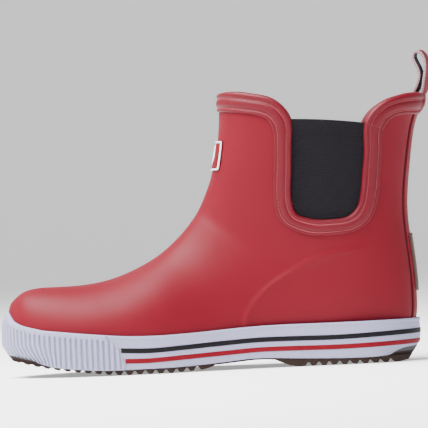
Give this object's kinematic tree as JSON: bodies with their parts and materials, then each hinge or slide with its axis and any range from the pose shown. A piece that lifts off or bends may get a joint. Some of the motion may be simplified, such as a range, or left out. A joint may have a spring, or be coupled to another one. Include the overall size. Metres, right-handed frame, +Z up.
{
  "type": "rubber rain boot",
  "caption": "Ankle-high moulded rubber rain boot with elastic side gussets, taped collar, webbing pull loop, ribbed toe bumper and treaded sole.",
  "frame": {"origin": "centre of the boot's outline on the ground, under its soles", "axes": "+X towards the heel, -X towards the toe, +Z up, the medial side of this right boot faces -Y"},
  "size_m": [0.2734, 0.0981, 0.1929],
  "materials": {
    "red_rubber": "satin natural rubber",
    "tape_rubber": "satin moulded tape",
    "lining_cloth": "knitted cotton",
    "stiffener": "plain hard rubber",
    "elastic": "woven elastic",
    "reflector": "soft reflective patch",
    "white_rubber": "matte white rubber",
    "badge_red": "satin",
    "webbing": "woven webbing",
    "black_rubber": "matte",
    "stripe_rubber": "matte",
    "sole_rubber": "matte",
    "sponge": "sponge",
    "board": "fibre board",
    "footbed_cloth": "brushed cloth"
  },
  "bodies": {
    "boot": {"upper_shell": "red_rubber", "lining": "lining_cloth", "heel_counter": "stiffener", "toe_puff": "stiffener", "gusset_medial": "elastic", "gusset_lateral": "elastic", "binding_front": "tape_rubber", "binding_rear": "tape_rubber", "collar_facing": "tape_rubber", "heel_strip": "red_rubber", "heel_reflector": "reflector", "badge_plate": "white_rubber", "badge_field": "badge_red", "badge_emblem": "white_rubber", "pull_loop_end_inner": "webbing", "pull_loop_end_outer": "webbing", "foxing": "white_rubber", "toe_bumper": "white_rubber", "stripe_dark": "black_rubber", "stripe_red": "stripe_rubber", "outsole": "sole_rubber", "midsole_filler": "sponge", "insole_board": "board"},
    "loop": {"pull_loop": "webbing"},
    "footbed": {"footbed_foam": "sponge", "footbed_cover": "footbed_cloth"}
  },
  "joints": [
    {"name": "pull_loop_bend", "type": "hinge", "parent": "boot", "child": "loop", "pos_m": [0.1328, 0, 0.1688], "axis": [0, 1, 0], "range_deg": [-55, 65], "stiffness_Nm_per_rad": 0.01},
    {"name": "footbed_lift", "type": "hinge", "parent": "boot", "child": "footbed", "pos_m": [-0.1265, 0, 0.0225], "axis": [0, -1, 0], "range_deg": [0, 10]}
  ]
}
